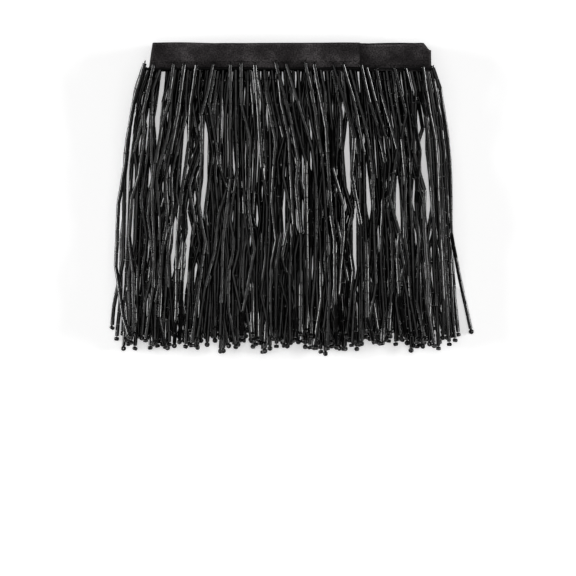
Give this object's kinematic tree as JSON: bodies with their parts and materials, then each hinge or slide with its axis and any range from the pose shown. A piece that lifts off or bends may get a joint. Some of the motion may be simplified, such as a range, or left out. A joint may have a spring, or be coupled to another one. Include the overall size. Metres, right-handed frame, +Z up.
{
  "type": "beaded tassel fringe trim, wound flat into a bundle",
  "caption": "Black satin ribbon trim with a fringe of glass tube-bead strands, wound flat into a bundle and lying on its back.",
  "frame": {"origin": "middle of the underside of the lowest layer of ribbon, on the surface that the trim lies on", "axes": "+X along the ribbon, +Y across it away from the strands, +Z up from the surface"},
  "size_m": [0.197, 0.1674, 0.0205],
  "materials": {
    "satin": "woven satin",
    "glass_beads": "glossy opaque",
    "thread": "matt"
  },
  "bodies": {
    "root": {"satin_ribbon": "satin", "strands_back_1": "glass_beads", "strands_back_2": "glass_beads", "strands_back_3": "glass_beads", "strands_back_4": "glass_beads", "strands_back_5": "glass_beads", "strands_front_1": "glass_beads", "strands_front_2": "glass_beads", "strands_front_3": "glass_beads", "strands_front_4": "glass_beads", "strands_front_5": "glass_beads"}
  },
  "joints": []
}
